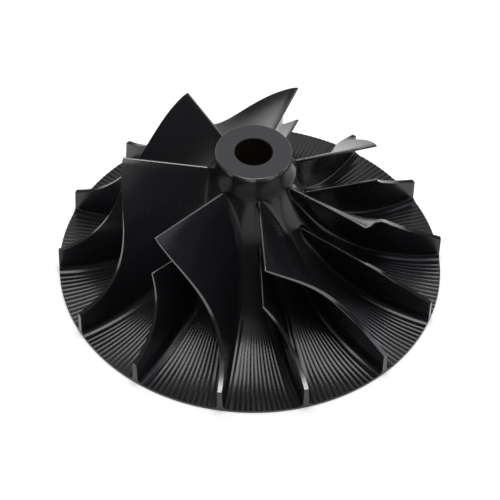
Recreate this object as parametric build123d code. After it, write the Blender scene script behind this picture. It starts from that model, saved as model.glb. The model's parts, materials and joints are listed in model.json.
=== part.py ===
from build123d import *
import math
import os

# Compressor wheel of a centrifugal supercharger: a bored, flared hub on a thin back disc,
# seven full blades and seven splitter blades. Millimetres, +Z along the bore towards the nose,
# origin on the bore's axis in the plane of the back face. The first full blade ends near +X.

# Wheel
RIM_RADIUS = 67.0
RIM_THICKNESS = 1.0
NOSE_TOP = 56.0
NOSE_RADIUS = 12.9
NOSE_EDGE = 0.3
BORE_RADIUS = 6.35
BORE_EDGE = 0.2

# Where the turned body is divided into its three nodes
DISC_TOP = 5.2
BOSS_BOTTOM = 46.73

# Blades
FULL_BLADES = 7
PITCH = 360.0 / FULL_BLADES
SPLITTER_LEAD = 0.8
SECTIONS = 15
SECTION_CROWDING = 1.2
OVERRUN = 1.02
ROOT_DEPTH = 3.0

# Meridional control points (radius, height) of the hub floor and of the blades' free edge,
# both from the inlet at the nose to the outlet at the rim
HUB_CURVE = [(14.62, BOSS_BOTTOM), (15.95, 27.7), (31.4, RIM_THICKNESS), (RIM_RADIUS, RIM_THICKNESS)]
TIP_CURVE = [(44.5, 46.0), (45.5, 39.2), (39.5, 20.5), (RIM_RADIUS, 9.7)]

# The neck between the nose's cylinder and the hub floor, running down
NECK_CURVE = [(NOSE_RADIUS, 54.5), (NOSE_RADIUS, 51.0), (14.46, 48.9), (14.62, BOSS_BOTTOM)]

# Wrap angle control values in degrees, from the inlet to the outlet
HUB_WRAP = [-36.6, -4.0, 1.5, -1.5, -0.3, 0.0]
TIP_WRAP = [-37.9, -28.4, -14.7, -4.7, 0.0, -0.2]

# Where a splitter starts along the hub and tip curves, as a share of each
SPLITTER_HUB_START = 0.28
SPLITTER_TIP_START = 0.50

# Blade thickness along the chord, as (share of chord, thickness) at the tip and at the root
TIP_THICKNESS = [(0.0, 0.6), (0.04, 0.9), (0.5, 1.2), (1.0, 1.7)]
ROOT_THICKNESS = [(0.0, 1.2), (0.05, 2.0), (0.4, 3.0), (1.0, 2.2)]


def bezier(values, t):
    """Value of a Bezier curve, whose control values are numbers, at t."""
    n = len(values) - 1
    return sum(math.comb(n, k) * t**k * (1 - t) ** (n - k) * v for k, v in enumerate(values))


def curve_point(curve, wrap, t):
    """Point on a blade's hub or tip line."""
    radius = bezier([p[0] for p in curve], t)
    height = bezier([p[1] for p in curve], t)
    angle = math.radians(bezier(wrap, t))
    return Vector(radius * math.cos(angle), radius * math.sin(angle), height)


def thickness(table, s):
    """Thickness at share s of the chord, linear between the table's rows."""
    for (s0, v0), (s1, v1) in zip(table, table[1:]):
        if s <= s1:
            return v0 + (v1 - v0) * (s - s0) / (s1 - s0)
    return table[-1][1]


def blade_section(s, hub_start, tip_start):
    """Flat four-sided section of a blade at share s of its chord, its foot sunk in the hub."""
    step = 0.001
    t_hub = hub_start + (1 - hub_start) * s
    t_tip = tip_start + (1 - tip_start) * s
    hub = curve_point(HUB_CURVE, HUB_WRAP, t_hub)
    tip = curve_point(TIP_CURVE, TIP_WRAP, t_tip)
    hub_next = curve_point(HUB_CURVE, HUB_WRAP, t_hub + step)
    tip_next = curve_point(TIP_CURVE, TIP_WRAP, t_tip + step)
    along = (hub_next + tip_next - hub - tip).normalized()
    span = (tip - hub).normalized()
    side = span.cross(along).normalized()
    foot = hub - span * min(ROOT_DEPTH, 0.5 * hub.Z)
    half_tip = side * (thickness(TIP_THICKNESS, s) / 2)
    half_root = side * (thickness(ROOT_THICKNESS, s) / 2)
    corners = [foot - half_root, tip - half_tip, tip + half_tip, foot + half_root]
    return Wire.make_polygon(corners, close=True)


def blade(hub_start, tip_start, wheel_body):
    """One blade, cut to the hub floor and to the rim's cylinder."""
    shares = [OVERRUN * (i / (SECTIONS - 1)) ** SECTION_CROWDING for i in range(SECTIONS)]
    loft = Solid.make_loft([blade_section(s, hub_start, tip_start) for s in shares])
    envelope = Cylinder(RIM_RADIUS, NOSE_TOP, align=(Align.CENTER, Align.CENTER, Align.MIN))
    trimmed = (loft & envelope) - wheel_body
    return max(trimmed.solids(), key=lambda solid: solid.volume)


def turned_body():
    """The hub, back disc and nose as one turned and bored body."""
    with BuildSketch(Plane.XZ) as profile:
        with BuildLine():
            Polyline((BORE_RADIUS + BORE_EDGE, 0), (RIM_RADIUS, 0), (RIM_RADIUS, RIM_THICKNESS))
            Bezier(*reversed(HUB_CURVE))
            Bezier(*reversed(NECK_CURVE))
            Polyline(
                NECK_CURVE[0],
                (NOSE_RADIUS, NOSE_TOP - NOSE_EDGE),
                (NOSE_RADIUS - NOSE_EDGE, NOSE_TOP),
                (BORE_RADIUS + BORE_EDGE, NOSE_TOP),
                (BORE_RADIUS, NOSE_TOP - BORE_EDGE),
                (BORE_RADIUS, BORE_EDGE),
                (BORE_RADIUS + BORE_EDGE, 0),
            )
        make_face()
    return revolve(profile.sketch, Axis.Z)


def slab(bottom, top):
    """Round slab wider than the wheel, for dividing the turned body."""
    disc = Cylinder(2 * RIM_RADIUS, top - bottom, align=(Align.CENTER, Align.CENTER, Align.MIN))
    return Pos(0, 0, bottom) * disc


def save(shape, name):
    shape.label = name
    export_step(shape, f"parts/{name}.step")


os.makedirs("parts", exist_ok=True)
body = turned_body()
save((body & slab(0, DISC_TOP)).solid(), "back_disc")
save((body & slab(DISC_TOP, BOSS_BOTTOM)).solid(), "hub_cone")
save((body & slab(BOSS_BOTTOM, NOSE_TOP)).solid(), "nose_boss")

full_blade = blade(0.0, 0.0, body)
splitter_blade = blade(SPLITTER_HUB_START, SPLITTER_TIP_START, body)
for number in range(1, FULL_BLADES + 1):
    angle = (number - 1) * PITCH
    save(full_blade.rotate(Axis.Z, angle), f"full_blade_{number}")
    save(splitter_blade.rotate(Axis.Z, angle + PITCH / 2 - SPLITTER_LEAD), f"splitter_blade_{number}")
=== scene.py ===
import json
import math
import random

import bmesh
import bpy
import numpy as np
from mathutils import Matrix, Vector


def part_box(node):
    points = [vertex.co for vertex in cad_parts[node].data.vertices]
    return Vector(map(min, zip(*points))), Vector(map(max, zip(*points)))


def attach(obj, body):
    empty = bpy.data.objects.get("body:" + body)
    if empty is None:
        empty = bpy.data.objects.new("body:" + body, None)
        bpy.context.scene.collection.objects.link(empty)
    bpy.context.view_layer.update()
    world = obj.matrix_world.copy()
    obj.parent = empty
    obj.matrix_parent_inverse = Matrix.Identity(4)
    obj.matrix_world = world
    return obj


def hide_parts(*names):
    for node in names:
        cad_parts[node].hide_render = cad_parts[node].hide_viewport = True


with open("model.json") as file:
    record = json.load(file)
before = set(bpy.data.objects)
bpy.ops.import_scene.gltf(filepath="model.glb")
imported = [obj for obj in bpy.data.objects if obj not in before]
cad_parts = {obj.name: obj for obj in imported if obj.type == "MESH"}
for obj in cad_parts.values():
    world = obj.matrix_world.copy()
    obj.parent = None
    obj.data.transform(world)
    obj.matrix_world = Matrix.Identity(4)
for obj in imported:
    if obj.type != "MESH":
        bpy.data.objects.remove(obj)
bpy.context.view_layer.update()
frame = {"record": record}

# Compressor wheel of a centrifugal supercharger: a flared, milled hub on a thin disc, seven full
# blades, seven splitter blades and a turned nose. Shapes are worked out in millimetres from the
# wheel's own curves and written to the meshes in metres.
MM = 0.001

# Wheel sizes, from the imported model
DISC_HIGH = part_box("back_disc")[1]
BOSS_LOW, BOSS_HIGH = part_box("nose_boss")
RIM_RADIUS = round(DISC_HIGH.x / MM, 2)
NOSE_TOP = BOSS_HIGH.z / MM
BOSS_BOTTOM = BOSS_LOW.z / MM
BORE_RADIUS = frame["record"]["mounts"][0]["dims"]["r_mm"]

# Wheel sizes, the same as in the CAD model
RIM_THICKNESS = 1.0
NOSE_RADIUS = 12.9
NOSE_EDGE = 0.3
BORE_EDGE = 0.2

# Hub, neck and blade curves, the same as in the CAD model: (radius, height), and wrap in degrees
FULL_BLADES = 7
PITCH = 360.0 / FULL_BLADES
SPLITTER_LEAD = 0.8
HUB_CURVE = [(14.62, BOSS_BOTTOM), (15.95, 27.7), (31.4, RIM_THICKNESS), (RIM_RADIUS, RIM_THICKNESS)]
TIP_CURVE = [(44.5, 46.0), (45.5, 39.2), (39.5, 20.5), (RIM_RADIUS, 9.7)]
NECK_CURVE = [(NOSE_RADIUS, 54.5), (NOSE_RADIUS, 51.0), (14.46, 48.9), (14.62, BOSS_BOTTOM)]
HUB_WRAP = [-36.6, -4.0, 1.5, -1.5, -0.3, 0.0]
TIP_WRAP = [-37.9, -28.4, -14.7, -4.7, 0.0, -0.2]
SPLITTER_HUB_START = 0.28
SPLITTER_TIP_START = 0.50
TIP_THICKNESS = [(0.0, 0.6), (0.04, 0.9), (0.5, 1.2), (1.0, 1.7)]
ROOT_THICKNESS = [(0.0, 1.2), (0.05, 2.0), (0.4, 3.0), (1.0, 2.2)]
CURVE_STEP = 0.001

# Dense outline of the neck and floor, on which the blades' feet are placed
NECK_POINTS = 160
HUB_POINTS = 1600
PAST_RIM = 4.0

# Blade mesh: stations in mm from the leading edge, then evenly spaced ones to the rim
LEADING_STATIONS = [0.0, 0.03, 0.1, 0.2, 0.35, 0.55, 0.8, 1.2, 1.8]
EVEN_STATIONS_FROM = 2.6
EVEN_STATIONS = 62
CHORD_POINTS = 200
CHORD_STEP = 0.002
FILLET_STEPS = 10
SPAN_STEPS = 9
FAN_STEPS = 12
FOOT_COLUMNS = FILLET_STEPS + 2
# Leading stations that get the edge material, whose higher reflection is a painted sheen
SHEEN_STATIONS = 5

# Blade details that only the visual mesh has
FILLET_RADIUS = [(0.0, 0.9), (0.08, 2.0), (0.5, 2.0), (1.0, 1.5)]
QUARTER_CIRCLE_WEIGHT = 0.7071
EDGE_BREAK = 0.10
LEAST_EDGE_SHARE = 0.35
OUTLET_BREAK = EDGE_BREAK * 0.7
OUTLET_INSET = 0.02
FOOT_TUCK = 0.01
SINK = 0.35
LEAST_SUNK_HEIGHT = 0.25
JOIN_DISTANCE = 0.002
FLAT_DISTANCE = 0.0005

# Milled floor: ball-cutter grooves along the blades, and a plain land beside each blade's foot
FLOOR_ROWS = 54
ROW_SPACING = 0.9
GROOVES = 13
GROOVE_STEPS = 8
GROOVES_FADE_IN = (20.0, 40.0)
CUTTER_RADIUS = 2.2
CUSP_MEAN = 0.33
CREST_HEIGHTS = (0.85, 1.1)
CREST_SHIFT = 0.03
FOOT_COVER = 0.75
FOOT_RUN_IN = 0.05
LAND_WIDTH = 0.8
LAND_HEIGHT = 0.28
CHANCE_SEED = 7

# Rim and back face
RIM_BREAK = 0.06
BACK_BREAK = 0.10
BACK_RINGS = [RIM_RADIUS - 2.0, 40.0, 20.0, BORE_RADIUS + BORE_EDGE + 0.1]

# Nose mesh
NOSE_SEGMENTS = 288
NOSE_NECK_RINGS = 24
NOSE_FACE_RINGS = 8
NOSE_FACE_MARGIN = 0.05
ROUND_STEPS = 6

# Edges that turn by more degrees than this are shaded sharp
BLADE_SHARP = 32.0
BODY_SHARP = 18.0
NOSE_SHARP = 30.0

# Stage and lights, in metres
FLOOR_HALF_SIZE = 1.6
FLOOR_LEVEL = -0.02 * MM
FLOOR_SHADE = 0.94
FLOOR_GLOW = 0.3
WORLD_STRENGTH = 0.07
LIGHT_AIM_HEIGHT = 0.03

# Camera: angles in degrees, places in metres, and a lens in mm
CAMERA_AZIMUTH = -5.575
CAMERA_ELEVATION = 47.69
CAMERA_ROLL = 1.88
CAMERA_DISTANCE = 12.10 * RIM_RADIUS * MM
CAMERA_UP = 0.0707 * RIM_RADIUS * MM
CAMERA_LENS = 165.5


# ---------------------------------------------------------------- curves

def bezier(values, t):
    """Bezier curve with the given control values, at the number or array t."""
    t = np.asarray(t, float)
    n = len(values) - 1
    return sum(math.comb(n, k) * t**k * (1 - t) ** (n - k) * v for k, v in enumerate(values))


def meridian(curve, t):
    """Radius and height along a meridional curve."""
    return bezier([p[0] for p in curve], t), bezier([p[1] for p in curve], t)


def table(rows, s):
    """Linear interpolation in a short table of (share, value)."""
    return np.interp(s, [r[0] for r in rows], [r[1] for r in rows])


def smooth_step(x):
    """Smooth rise from 0 to 1 as x goes from 0 to 1."""
    x = np.clip(x, 0, 1)
    return x * x * (3 - 2 * x)


def unit(v):
    """Vectors of length 1."""
    return v / np.maximum(np.linalg.norm(v, axis=-1, keepdims=True), 1e-12)


def running_length(steps):
    """Length so far at each point, from the lengths of the steps between points."""
    return np.concatenate([[0], np.cumsum(steps)])


def polar(radius, angle, height):
    """Points from radius, angle in degrees and height."""
    a = np.radians(angle)
    return np.stack([radius * np.cos(a), radius * np.sin(a), height + 0 * a], axis=-1)


def turned_about_axis(points, angle):
    """Points turned about the wheel's axis by an angle in degrees."""
    a = math.radians(angle)
    turn = np.array([[math.cos(a), -math.sin(a), 0], [math.sin(a), math.cos(a), 0], [0, 0, 1]])
    return points @ turn.T


def floor_profile():
    """Dense (radius, height) points of the neck and the hub floor, from the nose to past the rim."""
    neck = np.stack(meridian(NECK_CURVE, np.linspace(0, 1, NECK_POINTS)[:-1]), axis=-1)
    hub = np.stack(meridian(HUB_CURVE, np.linspace(0, 1, HUB_POINTS)), axis=-1)
    beyond = np.array([[RIM_RADIUS + PAST_RIM, RIM_THICKNESS]])
    return np.vstack([neck, hub, beyond])


PROFILE = floor_profile()


def floor_normal(points):
    """Nearest points on the floor, and the floor's outward normals there."""
    radius = np.hypot(points[..., 0], points[..., 1])
    flat = np.stack([radius.ravel(), points[..., 2].ravel()], axis=-1)
    start, end = PROFILE[:-1], PROFILE[1:]
    run = end - start
    length2 = (run**2).sum(1)
    share = ((flat[:, None] - start[None]) * run[None]).sum(2) / length2[None]
    share = np.clip(share, 0, 1)
    near = start[None] + share[..., None] * run[None]
    best = ((near - flat[:, None]) ** 2).sum(2).argmin(1)
    hit = near[np.arange(len(flat)), best]
    tangent = unit(run[best])
    normal = np.stack([-tangent[:, 1], tangent[:, 0]], axis=-1)
    around = np.stack([points[..., 0].ravel(), points[..., 1].ravel()], axis=-1) / radius.reshape(-1, 1)
    place = np.column_stack([around * hit[:, :1], hit[:, 1]])
    outward = np.column_stack([around * normal[:, :1], normal[:, 1]])
    return place.reshape(points.shape), outward.reshape(points.shape)


# ---------------------------------------------------------------- mesh helpers

def mesh_object(name, vertices, faces, materials, slots, sharp, uv=None):
    """Mesh object from millimetre points. Each face has a slot, which is the number of its material
    in materials, and each vertex may have a uv pair."""
    mesh = bpy.data.meshes.new(name)
    mesh.from_pydata((np.asarray(vertices) * MM).tolist(), [], faces)
    for material in materials:
        mesh.materials.append(material)
    mesh.polygons.foreach_set("material_index", np.asarray(slots, np.int32))
    if uv is not None:
        layer = mesh.uv_layers.new(name="flow")
        loops = np.zeros(len(mesh.loops), np.int32)
        mesh.loops.foreach_get("vertex_index", loops)
        layer.data.foreach_set("uv", np.asarray(uv, np.float32)[loops].ravel())
    mesh.shade_smooth()
    mesh.set_sharp_from_angle(angle=math.radians(sharp))
    mesh.validate()
    obj = bpy.data.objects.new(name, mesh)
    bpy.context.scene.collection.objects.link(obj)
    return obj


def ring_faces(rows, columns):
    """Quads between closed rings of points, which are numbered ring by ring."""
    faces = []
    for i in range(rows - 1):
        for j in range(columns):
            k = (j + 1) % columns
            a = i * columns
            b = a + columns
            faces.append((a + j, b + j, b + k, a + k))
    return faces


def point_outward(obj, join=False):
    """Point every face outward. With join, points that meet become one, and faces with no area go."""
    work = bmesh.new()
    work.from_mesh(obj.data)
    if join:
        bmesh.ops.remove_doubles(work, verts=work.verts, dist=JOIN_DISTANCE * MM)
        bmesh.ops.dissolve_degenerate(work, edges=work.edges, dist=FLAT_DISTANCE * MM)
    bmesh.ops.recalc_face_normals(work, faces=work.faces)
    work.to_mesh(obj.data)
    work.free()


# ---------------------------------------------------------------- materials

def new_material(name):
    """Material with nodes, its nodes and links, and its shader."""
    material = bpy.data.materials.new(name)
    material.use_nodes = True
    nodes = material.node_tree.nodes
    return material, nodes, material.node_tree.links, nodes["Principled BSDF"]


def noise(nodes, links, vector, scale, detail=2.0, roughness=0.5):
    """Noise texture read at a vector output."""
    texture = nodes.new("ShaderNodeTexNoise")
    texture.inputs["Scale"].default_value = scale
    texture.inputs["Detail"].default_value = detail
    texture.inputs["Roughness"].default_value = roughness
    links.new(vector, texture.inputs["Vector"])
    return texture.outputs["Fac"]


def drift_colour(nodes, links, shader, pattern, dark, light):
    """Base colour that drifts between two colours."""
    tint = nodes.new("ShaderNodeMix")
    tint.data_type = "RGBA"
    tint.inputs["A"].default_value = (*dark, 1)
    tint.inputs["B"].default_value = (*light, 1)
    links.new(pattern, tint.inputs["Factor"])
    links.new(tint.outputs["Result"], shader.inputs["Base Color"])


def drift_roughness(nodes, links, shader, pattern, low, high, window=(0.0, 1.0)):
    """Roughness that goes from low to high as the pattern crosses the window."""
    rough = nodes.new("ShaderNodeMapRange")
    rough.inputs["From Min"].default_value = window[0]
    rough.inputs["From Max"].default_value = window[1]
    rough.inputs["To Min"].default_value = low
    rough.inputs["To Max"].default_value = high
    links.new(pattern, rough.inputs["Value"])
    links.new(rough.outputs["Result"], shader.inputs["Roughness"])


def add_bump(nodes, links, shader, pattern, strength, distance):
    """Bump from a pattern, with its distance in metres."""
    height = nodes.new("ShaderNodeBump")
    height.inputs["Strength"].default_value = strength
    height.inputs["Distance"].default_value = distance
    links.new(pattern, height.inputs["Height"])
    links.new(height.outputs["Normal"], shader.inputs["Normal"])


def black_anodised(name, dark, light, roughness, streak_scale, ior):
    """Hard-anodised alloy: near-black, a faint tint that drifts, and cutter streaks along the flow."""
    material, nodes, links, shader = new_material(name)
    flow = nodes.new("ShaderNodeUVMap")
    flow.uv_map = "flow"
    stretch = nodes.new("ShaderNodeMapping")
    stretch.inputs["Scale"].default_value = streak_scale
    links.new(flow.outputs["UV"], stretch.inputs["Vector"])
    place = nodes.new("ShaderNodeTexCoord").outputs["Object"]
    streaks = noise(nodes, links, stretch.outputs["Vector"], scale=1.0, detail=5.0, roughness=0.6)
    cloud = noise(nodes, links, place, scale=60.0, detail=3.0)
    grain = noise(nodes, links, place, scale=2600.0)
    drift_colour(nodes, links, shader, cloud, dark, light)
    drift_roughness(nodes, links, shader, streaks, roughness - 0.05, roughness + 0.06, window=(0.3, 0.7))
    relief = nodes.new("ShaderNodeMix")
    relief.inputs["Factor"].default_value = 0.35
    links.new(streaks, relief.inputs["A"])
    links.new(grain, relief.inputs["B"])
    add_bump(nodes, links, shader, relief.outputs["Result"], strength=0.06, distance=0.00004)
    shader.inputs["IOR"].default_value = ior
    return material


def turned_alloy(name, dark, light, roughness, ring_scale, ior=1.5):
    """Black-anodised lathe-turned alloy: fine grooves round the axis on faces and cylinders alike."""
    material, nodes, links, shader = new_material(name)
    place = nodes.new("ShaderNodeTexCoord").outputs["Object"]
    split = nodes.new("ShaderNodeSeparateXYZ")
    links.new(place, split.inputs["Vector"])
    flat = nodes.new("ShaderNodeCombineXYZ")
    links.new(split.outputs["X"], flat.inputs["X"])
    links.new(split.outputs["Y"], flat.inputs["Y"])
    radius = nodes.new("ShaderNodeVectorMath")
    radius.operation = "LENGTH"
    links.new(flat.outputs["Vector"], radius.inputs[0])
    lathe = nodes.new("ShaderNodeCombineXYZ")
    links.new(radius.outputs["Value"], lathe.inputs["X"])
    links.new(split.outputs["Z"], lathe.inputs["Y"])
    rings = noise(nodes, links, lathe.outputs["Vector"], scale=ring_scale, detail=4.0, roughness=0.7)
    cloud = noise(nodes, links, place, scale=90.0)
    drift_colour(nodes, links, shader, cloud, dark, light)
    drift_roughness(nodes, links, shader, rings, roughness - 0.06, roughness + 0.08)
    add_bump(nodes, links, shader, rings, strength=0.35, distance=0.00003)
    shader.inputs["IOR"].default_value = ior
    return material


# The blades' lighter colour leans blue: partly the anodising's own tint, partly a painted reflection of a
# cool blue-violet fill
BLADE_BLACK = black_anodised(
    "anodised_blade", (0.0095, 0.0092, 0.0090), (0.0115, 0.0114, 0.0160), 0.24, (0.35, 6.0, 1.0), ior=1.47
)
FLOOR_BLACK = black_anodised(
    "anodised_floor", (0.0085, 0.0085, 0.0086), (0.0115, 0.0114, 0.0136), 0.20, (2.0, 0.10, 1.0), ior=1.42
)
# Edge material for the blades' free and leading edges and the nose's round edge: more reflective than the
# flanks (higher IOR, lower roughness), a painted sheen where these edges catch the light
EDGE_SHEEN_BLACK = turned_alloy(
    "worn_edge", (0.0080, 0.0083, 0.0090), (0.0150, 0.0155, 0.0170), 0.16, 5200.0, ior=2.0
)
RIM_BLACK = turned_alloy(
    "turned_rim", (0.0120, 0.0124, 0.0134), (0.0180, 0.0184, 0.0200), 0.22, 5200.0
)
NOSE_BLACK = turned_alloy(
    "turned_nose", (0.0180, 0.0188, 0.0214), (0.0260, 0.0270, 0.0310), 0.30, 4200.0
)
# The neck and the nose's cylinder get a darker, less reflective copy of the nose's turned alloy: painted
# shade for the dark reflections they show
SHADED_NECK_BLACK = turned_alloy(
    "turned_neck", (0.0060, 0.0060, 0.0060), (0.0090, 0.0090, 0.0090), 0.24, 4200.0, ior=1.3
)
BORE_BLACK = turned_alloy(
    "reamed_bore", (0.0260, 0.0190, 0.0140), (0.0380, 0.0280, 0.0200), 0.34, 3000.0
)

# Each mesh's materials, and names for their slots in the same order
BLADE_FINISHES = [BLADE_BLACK, EDGE_SHEEN_BLACK, RIM_BLACK]
FLANK, EDGE, OUTLET = range(3)
BODY_FINISHES = [FLOOR_BLACK, RIM_BLACK, BORE_BLACK]
MILLED, TURNED, REAMED = range(3)
NOSE_FINISHES = [NOSE_BLACK, BORE_BLACK, SHADED_NECK_BLACK, EDGE_SHEEN_BLACK]
FACE, BORE, NECK, ROUND = range(4)


# ---------------------------------------------------------------- blades

def blade_angles():
    """Angle of each blade's foot at the rim, round the wheel: full blade, splitter, and so on."""
    angles = []
    for k in range(FULL_BLADES):
        angles += [k * PITCH, k * PITCH + PITCH / 2 - SPLITTER_LEAD]
    return angles


def blade_lines(s, hub_start, tip_start):
    """Hub and tip points at shares s of a blade's chord."""
    t_hub = hub_start + (1 - hub_start) * s
    t_tip = tip_start + (1 - tip_start) * s
    hub_r, hub_z = meridian(HUB_CURVE, t_hub)
    tip_r, tip_z = meridian(TIP_CURVE, t_tip)
    hub = polar(hub_r, bezier(HUB_WRAP, t_hub), hub_z)
    tip = polar(tip_r, bezier(TIP_WRAP, t_tip), tip_z)
    return hub, tip


def blade_directions(s, hub_start, tip_start):
    """Unit vectors at shares s: out of the blade's left side, along its hub line, and away from its
    left side on the floor."""
    hub, tip = blade_lines(s, hub_start, tip_start)
    hub_next, tip_next = blade_lines(s + CHORD_STEP, hub_start, tip_start)
    hub_back, tip_back = blade_lines(s - CHORD_STEP, hub_start, tip_start)
    along = unit(hub_next + tip_next - hub_back - tip_back)
    side = unit(np.cross(unit(tip - hub), along))
    flow = unit(hub_next - hub_back)
    _, normal = floor_normal(hub)
    across = unit(np.cross(normal, flow))
    return side, flow, across * np.sign((across * side).sum(1))[:, None]


def chord_length(hub_start, tip_start):
    """Length of a blade along the middle of its span."""
    hub, tip = blade_lines(np.linspace(0, 1, CHORD_POINTS), hub_start, tip_start)
    return np.linalg.norm(np.diff((hub + tip) / 2, axis=0), axis=1).sum()


def blade_stations(chord):
    """Shares of the chord, close together at the leading edge."""
    leading = np.array(LEADING_STATIONS) / chord
    even = np.linspace(EVEN_STATIONS_FROM / chord, 1.0, EVEN_STATIONS)
    return np.concatenate([leading, even])


def rounded(distance, half):
    """Half thickness near a leading edge: a semicircular nose that grows to the full half."""
    near = np.clip(1 - distance / np.maximum(half, 1e-6), 0, 1)
    return half * np.sqrt(np.maximum(1 - near**2, 0))


def tucked_foot(points):
    """Nearest floor points, moved a hair below the floor, and the floor's normals there."""
    foot, normal = floor_normal(points)
    return foot - normal * FOOT_TUCK, normal


def fillet_curve(floor_point, corner, flank_point):
    """Circle-like curve from the floor to the flank, tangent to both."""
    u = np.linspace(0, 1, FILLET_STEPS + 1)[:, None, None]
    a, b, c = (1 - u) ** 2, 2 * QUARTER_CIRCLE_WEIGHT * u * (1 - u), u**2
    return (a * floor_point + b * corner + c * flank_point) / (a + b + c)


def blade_side(hub, tip, lean, out, half_root, half_tip, radius):
    """One side of a blade at every station: below the floor, fillet, flank and broken free edge."""
    corner, _ = floor_normal(hub + lean * half_root)
    top = tip + lean * half_tip
    up = unit(top - corner)
    flank_start = corner + up * radius
    foot, foot_normal = tucked_foot(corner + out * radius)
    sunk = foot - foot_normal * SINK
    sunk[:, 2] = np.maximum(sunk[:, 2], LEAST_SUNK_HEIGHT)
    v = np.linspace(0, 1, SPAN_STEPS + 1)[1:, None, None]
    shoulder = top - up * EDGE_BREAK
    flank = flank_start * (1 - v) + shoulder * v
    brink = tip + lean * np.maximum(half_tip - EDGE_BREAK, half_tip * LEAST_EDGE_SHARE)
    return np.concatenate([sunk[None], fillet_curve(foot, corner, flank_start), flank, brink[None]])


def leading_foot(hub, flow, out, radius, apex):
    """Fillet curves round the foot of the leading edge, from the left side to the right."""
    fan = []
    for angle in np.linspace(90, -90, FAN_STEPS + 1)[1:-1]:
        a = math.radians(angle)
        reach = out * math.sin(a) - flow * math.cos(a)
        foot, normal = tucked_foot((hub + reach * radius)[None])
        fan.append(np.vstack([foot - normal * SINK, fillet_curve(foot, hub[None], apex[None])[:, 0]]))
    return np.array(fan)


def blade_slots(rows, columns):
    """Slot of each quad: the more reflective edge material, a painted sheen, along the free edge and the
    leading edge; anodised elsewhere.
    """
    middle = columns // 2
    free_edge = range(middle - 2, middle + 1)
    above_fillets = range(FOOT_COLUMNS - 1, columns - FOOT_COLUMNS)
    slots = []
    for row in range(rows - 1):
        for column in range(columns):
            sheen_edge = column in free_edge or (row < SHEEN_STATIONS and column in above_fillets)
            slots.append(EDGE if sheen_edge else FLANK)
    return slots


def blade_mesh(hub_start, tip_start):
    """Vertices, faces, slots and flow coordinates of a blade whose foot at the rim is at angle 0."""
    chord = chord_length(hub_start, tip_start)
    s = blade_stations(chord)
    distance = s * chord
    hub, tip = blade_lines(s, hub_start, tip_start)
    side, flow, out = blade_directions(s, hub_start, tip_start)
    half_tip = rounded(distance, table(TIP_THICKNESS, s) / 2)[:, None]
    half_root = rounded(distance, table(ROOT_THICKNESS, s) / 2)[:, None]
    # the last station is a hair narrower, as the broken edge of the outlet face
    half_tip[-1] -= OUTLET_BREAK
    half_root[-1] -= OUTLET_BREAK
    radius = table(FILLET_RADIUS, s)[:, None]
    left = blade_side(hub, tip, side, out, half_root, half_tip, radius)
    right = blade_side(hub, tip, -side, -out, half_root, half_tip, radius)
    ring = np.concatenate([left, right[::-1]]).transpose(1, 0, 2)
    # outlet face a hair inside the rim's cylinder
    outlet = ring[-1]
    outlet[:, :2] *= ((RIM_RADIUS - OUTLET_INSET) / np.hypot(outlet[:, 0], outlet[:, 1]))[:, None]
    rows, columns = ring.shape[:2]
    faces = ring_faces(rows, columns)
    slots = blade_slots(rows, columns)
    faces.append(tuple((rows - 1) * columns + j for j in range(columns)))
    slots.append(OUTLET)
    # a fan of fillets joins the two sides' feet round the leading edge, and a face closes it below
    fan = leading_foot(hub[0], flow[0], out[0], float(radius[0, 0]), ring[0, FOOT_COLUMNS - 1])
    base = rows * columns
    strips = [[base + i * FOOT_COLUMNS + j for j in range(FOOT_COLUMNS)] for i in range(len(fan))]
    strips = [list(range(FOOT_COLUMNS)), *strips, [columns - 1 - j for j in range(FOOT_COLUMNS)]]
    for first, second in zip(strips, strips[1:]):
        for j in range(FOOT_COLUMNS - 1):
            faces.append((first[j], first[j + 1], second[j + 1], second[j]))
            slots.append(FLANK)
    faces.append(tuple(strip[0] for strip in strips))
    slots.append(FLANK)
    height = running_length(np.linalg.norm(np.diff(ring[rows // 2], axis=0), axis=1))
    uv = np.zeros((base + len(fan) * FOOT_COLUMNS, 2))
    uv[:base, 0] = np.repeat(distance, columns)
    uv[:base, 1] = np.tile(height, rows)
    return np.vstack([ring.reshape(-1, 3), fan.reshape(-1, 3)]), faces, slots, uv


def add_blade(name, node, shape, angle):
    """Blade turned to its place. Its streaks are moved by the angle, so that no two are alike."""
    vertices, faces, slots, uv = shape
    points = turned_about_axis(vertices, angle)
    blade = mesh_object(name, points, faces, BLADE_FINISHES, slots, BLADE_SHARP, uv + angle)
    point_outward(blade, join=True)
    blade.data.set_sharp_from_angle(angle=math.radians(BLADE_SHARP))
    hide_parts(node)
    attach(blade, "root")


def add_blades():
    """The full blades, each with a splitter blade after it."""
    full_shape = blade_mesh(0.0, 0.0)
    splitter_shape = blade_mesh(SPLITTER_HUB_START, SPLITTER_TIP_START)
    angles = blade_angles()
    pairs = zip(angles[::2], angles[1::2])
    for number, (full_angle, splitter_angle) in enumerate(pairs, start=1):
        add_blade(f"wheel_full_blade_{number}", f"full_blade_{number}", full_shape, full_angle)
        add_blade(f"wheel_splitter_{number}", f"splitter_blade_{number}", splitter_shape, splitter_angle)


# ---------------------------------------------------------------- milled floor, rim and back

def foot_width(t, start):
    """Half width of a blade's filleted foot at floor shares t, and how fully the blade is there."""
    s = np.clip((t - start) / (1 - start), 0, 1)
    half = table(ROOT_THICKNESS, s) / 2 + table(FILLET_RADIUS, s) * FOOT_COVER
    presence = smooth_step((t - start + FOOT_RUN_IN) / FOOT_RUN_IN) if start > 0 else np.ones_like(t)
    return half * presence, presence


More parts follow.
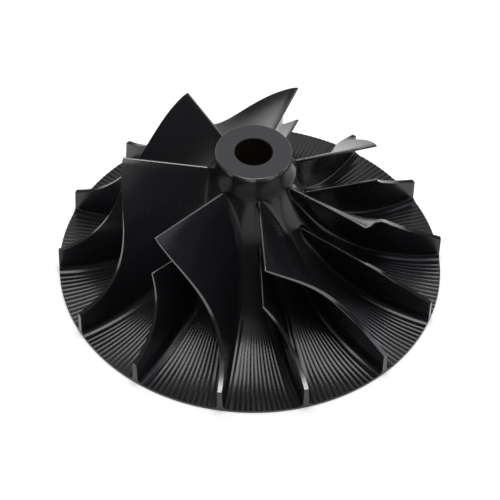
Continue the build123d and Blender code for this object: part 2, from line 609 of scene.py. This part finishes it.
def passage_columns(t, starts, share_per_mm, milled, chance):
    """Columns of points across one passage, as shares of its width and lifts above the floor.

    The blades on its two sides begin at the floor shares in starts, and milled says how fully the
    grooves are cut at each t."""
    left_foot, left_blade = foot_width(t, starts[0])
    right_foot, right_blade = foot_width(t, starts[1])
    left = (left_foot + LAND_WIDTH * left_blade) * share_per_mm
    right = 1 - (right_foot + LAND_WIDTH * right_blade) * share_per_mm
    pitch = (right - left) / share_per_mm / GROOVES
    cusp = pitch**2 / (8 * CUTTER_RADIUS) * milled
    crest = cusp * (1 - CUSP_MEAN)
    left_land = crest * (1 - left_blade) + LAND_HEIGHT * left_blade * milled
    right_land = crest * (1 - right_blade) + LAND_HEIGHT * right_blade * milled
    inner_heights = [chance.uniform(*CREST_HEIGHTS) for _ in range(GROOVES - 1)]
    inner_shifts = [chance.uniform(-CREST_SHIFT, CREST_SHIFT) for _ in range(GROOVES - 1)]
    heights = [1 - left_blade, *inner_heights, 1 - right_blade]
    shifts = [0.0, *inner_shifts, 0.0]
    columns = [(0 * t, left_land), (left_foot * share_per_mm, left_land)]
    for g in range(GROOVES):
        begin = (g + shifts[g]) / GROOVES
        end = (g + 1 + shifts[g + 1]) / GROOVES
        for k in range(GROOVE_STEPS):
            x = k / GROOVE_STEPS
            lift = heights[g] * max(0.0, 1 - 2 * x) ** 2 + heights[g + 1] * max(0.0, 2 * x - 1) ** 2
            share = begin + (end - begin) * x
            columns.append((left + (right - left) * share, cusp * (lift - CUSP_MEAN)))
    columns.append((right, cusp * (heights[-1] - CUSP_MEAN)))
    columns.append((1 - right_foot * share_per_mm, right_land))
    return columns


def milled_floor():
    """Grid of the hub floor, its flow coordinates, and its columns' angles at the rim and the top."""
    chance = random.Random(CHANCE_SEED)
    t = np.linspace(0, 1, FLOOR_ROWS) ** ROW_SPACING
    r, z = meridian(HUB_CURVE, t)
    r_next, z_next = meridian(HUB_CURVE, t + CURVE_STEP)
    run = np.hypot(r_next - r, z_next - z)
    slope = np.stack([(z - z_next) / run, (r_next - r) / run], axis=-1)
    wrap = bezier(HUB_WRAP, t)
    swirl = r * np.radians(bezier(HUB_WRAP, t + CURVE_STEP) - wrap)
    cos_beta = run / np.hypot(run, swirl)
    milled = smooth_step((r - GROOVES_FADE_IN[0]) / (GROOVES_FADE_IN[1] - GROOVES_FADE_IN[0]))
    angles = blade_angles()
    column_angles, lifts, across = [], [], []
    for number, first in enumerate(angles):
        second = angles[number + 1] if number + 1 < len(angles) else 360.0
        starts = (0.0, SPLITTER_HUB_START) if number % 2 == 0 else (SPLITTER_HUB_START, 0.0)
        share_per_mm = 1 / (r * cos_beta * math.radians(second - first))
        for share, lift in passage_columns(t, starts, share_per_mm, milled, chance):
            column_angles.append(wrap + first + (second - first) * share)
            lifts.append(lift)
            across.append(r * np.radians(first + (second - first) * share))
    angle = np.array(column_angles).T
    lift = np.array(lifts).T
    radius = r[:, None] + slope[:, :1] * lift
    height = z[:, None] + slope[:, 1:] * lift
    # the first row meets the nose, and the last one the rim's broken edge
    radius[0] = r[0]
    height[0] = z[0]
    radius[-1] = RIM_RADIUS - RIM_BREAK
    length = running_length(np.hypot(np.diff(r), np.diff(z)))
    along = np.repeat(length[:, None], lift.shape[1], axis=1)
    uv = np.stack([np.array(across).T, along], axis=-1)
    return polar(radius, angle, height), uv, angle[-1], angle[0]


def add_wheel_body():
    """Milled floor, rim edge, turned back face and bore, as one closed mesh."""
    floor, floor_uv, rim_angle, top_angle = milled_floor()
    rim_top = floor[-1, :, 2]
    level = rim_top * 0
    rings = [
        (RIM_RADIUS, rim_top - RIM_BREAK),
        (RIM_RADIUS, level + BACK_BREAK),
        (RIM_RADIUS - BACK_BREAK, level),
        *((radius, level) for radius in BACK_RINGS),
        (BORE_RADIUS + BORE_EDGE, level),
        (BORE_RADIUS, level + BORE_EDGE),
        (BORE_RADIUS, level + BOSS_BOTTOM),
    ]
    below = [polar(np.full_like(rim_angle, radius), rim_angle, height) for radius, height in rings]
    grid = np.concatenate([floor, np.array(below)])
    rows, columns = grid.shape[:2]
    faces = ring_faces(rows, columns)
    rim_row = len(floor) - 1
    bore_row = len(floor) + 2 + len(BACK_RINGS)
    slots = []
    for row in range(rows - 1):
        finish = MILLED if row < rim_row else TURNED if row < bore_row else REAMED
        slots += [finish] * columns
    # close the top against the nose, from the floor's first ring to the bore's last
    shift = int(np.argmin(np.abs((top_angle - rim_angle[0] + 180) % 360 - 180)))
    last = (rows - 1) * columns
    for j in range(columns):
        k = (j + 1) % columns
        faces.append(((j + shift) % columns, (j + 1 + shift) % columns, last + k, last + j))
        slots.append(TURNED)
    uv = np.concatenate([floor_uv, np.zeros((len(rings), columns, 2))]).reshape(-1, 2)
    body = mesh_object("wheel_body", grid.reshape(-1, 3), faces, BODY_FINISHES, slots, BODY_SHARP, uv)
    point_outward(body)
    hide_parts("back_disc", "hub_cone")
    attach(body, "root")


# ---------------------------------------------------------------- nose

def round_edge(radius, height, size):
    """Quarter round from a cylinder of the given radius to the flat face at the given height."""
    turns = np.linspace(0, math.pi / 2, ROUND_STEPS + 1)
    return [(radius - size * (1 - math.cos(a)), height - size * (1 - math.sin(a)), ROUND) for a in turns]


def add_nose():
    """Turned nose: neck, cylinder, flat ring face and bore."""
    neck_r, neck_z = meridian(NECK_CURVE, np.linspace(1, 0, NOSE_NECK_RINGS))
    outline = [(r, z, NECK) for r, z in zip(neck_r, neck_z)]
    outline += round_edge(NOSE_RADIUS, NOSE_TOP, NOSE_EDGE)
    face_outer = NOSE_RADIUS - NOSE_EDGE - NOSE_FACE_MARGIN
    face_inner = BORE_RADIUS + BORE_EDGE + NOSE_FACE_MARGIN
    outline += [(r, NOSE_TOP, FACE) for r in np.linspace(face_outer, face_inner, NOSE_FACE_RINGS)]
    outline.append((BORE_RADIUS + BORE_EDGE, NOSE_TOP, BORE))
    outline.append((BORE_RADIUS, NOSE_TOP - BORE_EDGE, BORE))
    outline.append((BORE_RADIUS, BOSS_BOTTOM, BORE))
    angle = np.linspace(0, 360, NOSE_SEGMENTS, endpoint=False)
    grid = np.array([polar(np.full(NOSE_SEGMENTS, r), angle, z) for r, z, _ in outline])
    faces = ring_faces(len(outline), NOSE_SEGMENTS)
    slots = []
    for _, _, finish in outline[1:]:
        slots += [finish] * NOSE_SEGMENTS
    last = (len(outline) - 1) * NOSE_SEGMENTS
    for j in range(NOSE_SEGMENTS):
        k = (j + 1) % NOSE_SEGMENTS
        faces.append((j, k, last + k, last + j))
        slots.append(BORE)
    nose = mesh_object("wheel_nose", grid.reshape(-1, 3), faces, NOSE_FINISHES, slots, NOSE_SHARP)
    point_outward(nose)
    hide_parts("nose_boss")
    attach(nose, "root")


# ---------------------------------------------------------------- stage, camera and lights

def add_stage():
    """Pale floor, a hair below the wheel's back face, that glows a little."""
    size = FLOOR_HALF_SIZE
    mesh = bpy.data.meshes.new("pale_floor")
    outline = [(-size, -size), (size, -size), (size, size), (-size, size)]
    mesh.from_pydata([(x, y, FLOOR_LEVEL) for x, y in outline], [], [(0, 1, 2, 3)])
    material, _, _, shader = new_material("pale_floor")
    shader.inputs["Base Color"].default_value = (FLOOR_SHADE, FLOOR_SHADE, FLOOR_SHADE, 1)
    shader.inputs["Roughness"].default_value = 0.9
    shader.inputs["Emission Color"].default_value = (1, 1, 1, 1)
    shader.inputs["Emission Strength"].default_value = FLOOR_GLOW
    mesh.materials.append(material)
    floor = bpy.data.objects.new("pale_floor", mesh)
    bpy.context.scene.collection.objects.link(floor)


def direction(azimuth, elevation):
    """Unit vector from the wheel; azimuth 0 is its front and 90 its right."""
    a, e = math.radians(azimuth), math.radians(elevation)
    return Vector((math.sin(a) * math.cos(e), -math.cos(a) * math.cos(e), math.sin(e)))


def add_camera():
    """Long lens from above the wheel's inlet side, rolled by a couple of degrees."""
    data = bpy.data.cameras.new("camera")
    data.lens = CAMERA_LENS
    camera = bpy.data.objects.new("camera", data)
    bpy.context.scene.collection.objects.link(camera)
    azimuth, roll = math.radians(CAMERA_AZIMUTH), math.radians(CAMERA_ROLL)
    back = direction(CAMERA_AZIMUTH, CAMERA_ELEVATION)
    level = Vector((math.cos(azimuth), math.sin(azimuth), 0))
    rise = back.cross(level)
    right = level * math.cos(roll) + rise * math.sin(roll)
    up = rise * math.cos(roll) - level * math.sin(roll)
    place = back * CAMERA_DISTANCE + up * CAMERA_UP
    camera.matrix_world = Matrix((
        (right.x, up.x, back.x, place.x),
        (right.y, up.y, back.y, place.y),
        (right.z, up.z, back.z, place.z),
        (0, 0, 0, 1),
    ))
    bpy.context.scene.camera = camera


def add_area(name, azimuth, elevation, distance, width, height, power, colour=(1, 1, 1)):
    """Softbox that faces the wheel, with its sizes in metres and its power in watts."""
    data = bpy.data.lights.new(name, "AREA")
    data.energy = power
    data.shape = "RECTANGLE"
    data.size = width
    data.size_y = height
    data.color = colour
    light = bpy.data.objects.new(name, data)
    bpy.context.scene.collection.objects.link(light)
    back = direction(azimuth, elevation)
    light.location = back * distance + Vector((0, 0, LIGHT_AIM_HEIGHT))
    light.rotation_mode = "QUATERNION"
    light.rotation_quaternion = back.to_track_quat("Z", "Y")


def add_lights():
    """Two overhead softboxes, a wide card behind, a cool fill at the right, and a dim world."""
    add_area(
        "overhead", azimuth=180, elevation=88, distance=0.9, width=0.5, height=0.5, power=5.2,
        colour=(0.975, 0.985, 1.0),
    )
    add_area("overhead_front", azimuth=0, elevation=72, distance=0.9, width=0.5, height=0.5, power=0.4)
    add_area("back_card", azimuth=180, elevation=40, distance=1.2, width=1.6, height=0.8, power=3.6)
    add_area(
        "right_fill", azimuth=90, elevation=62, distance=1.0, width=0.6, height=0.6, power=1.1,
        colour=(0.86, 0.89, 1.0),
    )
    world = bpy.data.worlds.new("studio")
    bpy.context.scene.world = world
    world.use_nodes = True
    background = world.node_tree.nodes["Background"]
    background.inputs["Color"].default_value = (1, 1, 1, 1)
    background.inputs["Strength"].default_value = WORLD_STRENGTH
    bpy.context.scene.view_settings.view_transform = "Standard"


# ---------------------------------------------------------------- build

add_blades()
add_wheel_body()
add_nose()
add_stage()
add_camera()
add_lights()
